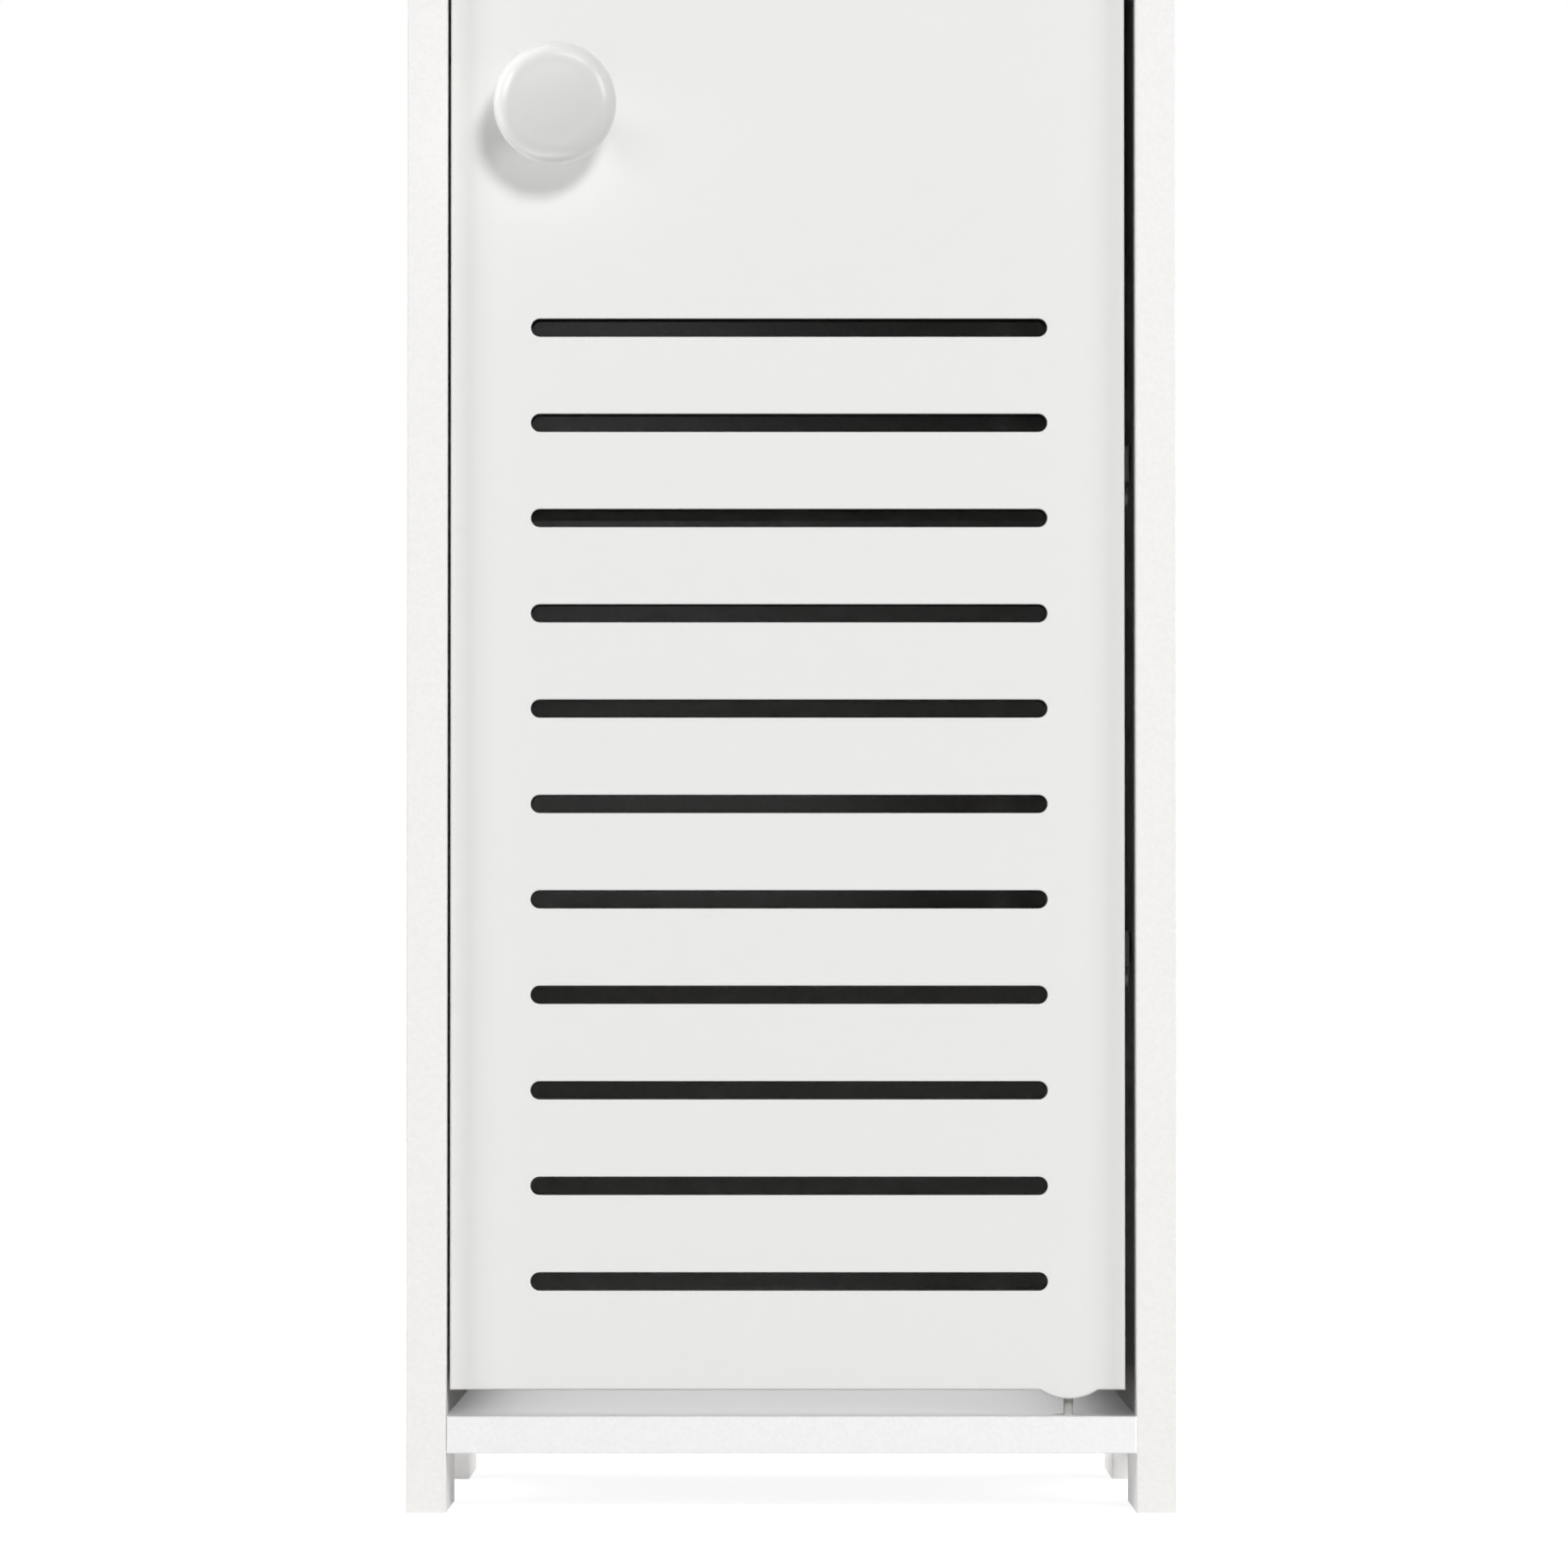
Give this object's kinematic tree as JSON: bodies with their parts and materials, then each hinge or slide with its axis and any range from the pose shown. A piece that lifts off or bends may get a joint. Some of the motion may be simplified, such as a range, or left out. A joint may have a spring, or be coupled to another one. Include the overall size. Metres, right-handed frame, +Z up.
{
  "type": "louvred door cabinet",
  "caption": "Narrow white floor cabinet with a slotted door on pivot pins, a round knob, two loose shelves and four short feet.",
  "frame": {"origin": "on the floor, under the middle of the box that holds cabinet and knob", "axes": "+X to the viewer's right when facing the door, +Y from the door to the back, +Z up"},
  "size_m": [0.2, 0.219, 0.43],
  "materials": {
    "cabinet_board": "white foamed PVC board, lightly embossed",
    "door_board": "white foamed PVC board, smooth satin",
    "knob_plastic": "glossy pale grey-white moulded plastic",
    "white_nylon": "natural white moulded nylon",
    "zinc_steel": "zinc plated steel",
    "insert_brass": "plain turned brass",
    "beech": "unfinished beech dowel",
    "ferrite": "dark sintered ferrite"
  },
  "bodies": {
    "cabinet": {"side_panel_left": "cabinet_board", "side_panel_right": "cabinet_board", "bottom_shelf": "cabinet_board", "top_panel": "cabinet_board", "back_panel": "cabinet_board", "adjustable_shelf_lower": "cabinet_board", "adjustable_shelf_upper": "cabinet_board", "shelf_pins_lower": "zinc_steel", "shelf_pins_upper": "zinc_steel", "carcass_dowels": "beech", "carcass_screws_left": "zinc_steel", "carcass_screws_right": "zinc_steel", "screw_caps_left": "white_nylon", "screw_caps_right": "white_nylon", "back_panel_screws": "zinc_steel", "lower_pivot_bush": "white_nylon", "upper_pivot_pin": "zinc_steel", "catch_housing": "white_nylon", "catch_magnet": "ferrite", "catch_pole_plates": "zinc_steel", "catch_screws": "zinc_steel"},
    "door": {"door_panel": "door_board", "lower_pivot_pin": "zinc_steel", "door_top_bush": "white_nylon", "knob": "knob_plastic", "knob_insert": "insert_brass", "knob_screw": "zinc_steel", "strike_plate": "zinc_steel", "strike_screw": "zinc_steel"}
  },
  "joints": [
    {"name": "door_hinge", "type": "hinge", "parent": "cabinet", "child": "door", "pos_m": [0.0723, -0.0807, 0.0251], "axis": [0, 0, 1], "range_deg": [0, 130]}
  ]
}
